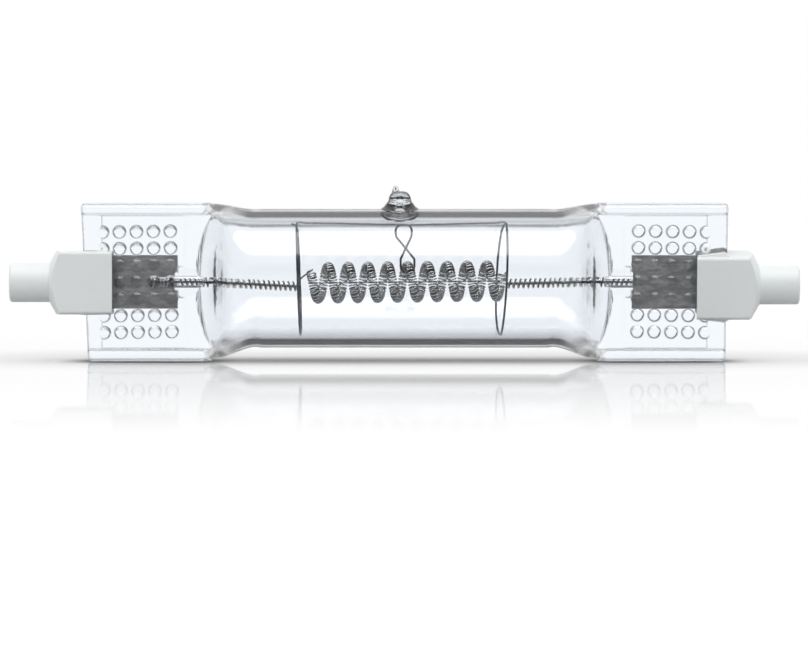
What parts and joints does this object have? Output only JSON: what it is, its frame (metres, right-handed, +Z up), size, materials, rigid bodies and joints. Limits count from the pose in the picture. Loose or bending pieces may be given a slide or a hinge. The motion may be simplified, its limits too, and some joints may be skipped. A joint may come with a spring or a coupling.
{
  "type": "linear halogen bulb",
  "caption": "Double-ended linear halogen bulb: clear quartz tube with dimpled press seals, ceramic end caps with sunken contacts and a coiled filament held by a bent wire.",
  "frame": {"origin": "on the floor, under the middle of the bulb, with the bulb standing on the lower beads of its press seals", "axes": "+X along the bulb, +Z up through the pumping tip, +Y to the back"},
  "size_m": [0.143, 0.0252, 0.0317],
  "materials": {
    "quartz": "clear fused quartz, smooth and glossy",
    "tungsten": "dark drawn tungsten wire",
    "support_metal": "drawn wire, half bright",
    "foil_metal": "dull grey molybdenum foil",
    "lead_metal": "drawn molybdenum wire",
    "ceramic": "fine matt steatite",
    "contact_metal": "nickel plated",
    "cement": "matt white cement"
  },
  "bodies": {
    "root": {"quartz_envelope": "quartz", "filament": "tungsten", "support_wire": "support_metal", "left_foil": "foil_metal", "right_foil": "foil_metal", "left_lead_rod": "lead_metal", "right_lead_rod": "lead_metal", "left_outer_lead": "lead_metal", "right_outer_lead": "lead_metal", "left_cap": "ceramic", "right_cap": "ceramic", "left_contact": "contact_metal", "right_contact": "contact_metal", "left_cement": "cement", "right_cement": "cement"}
  },
  "joints": []
}
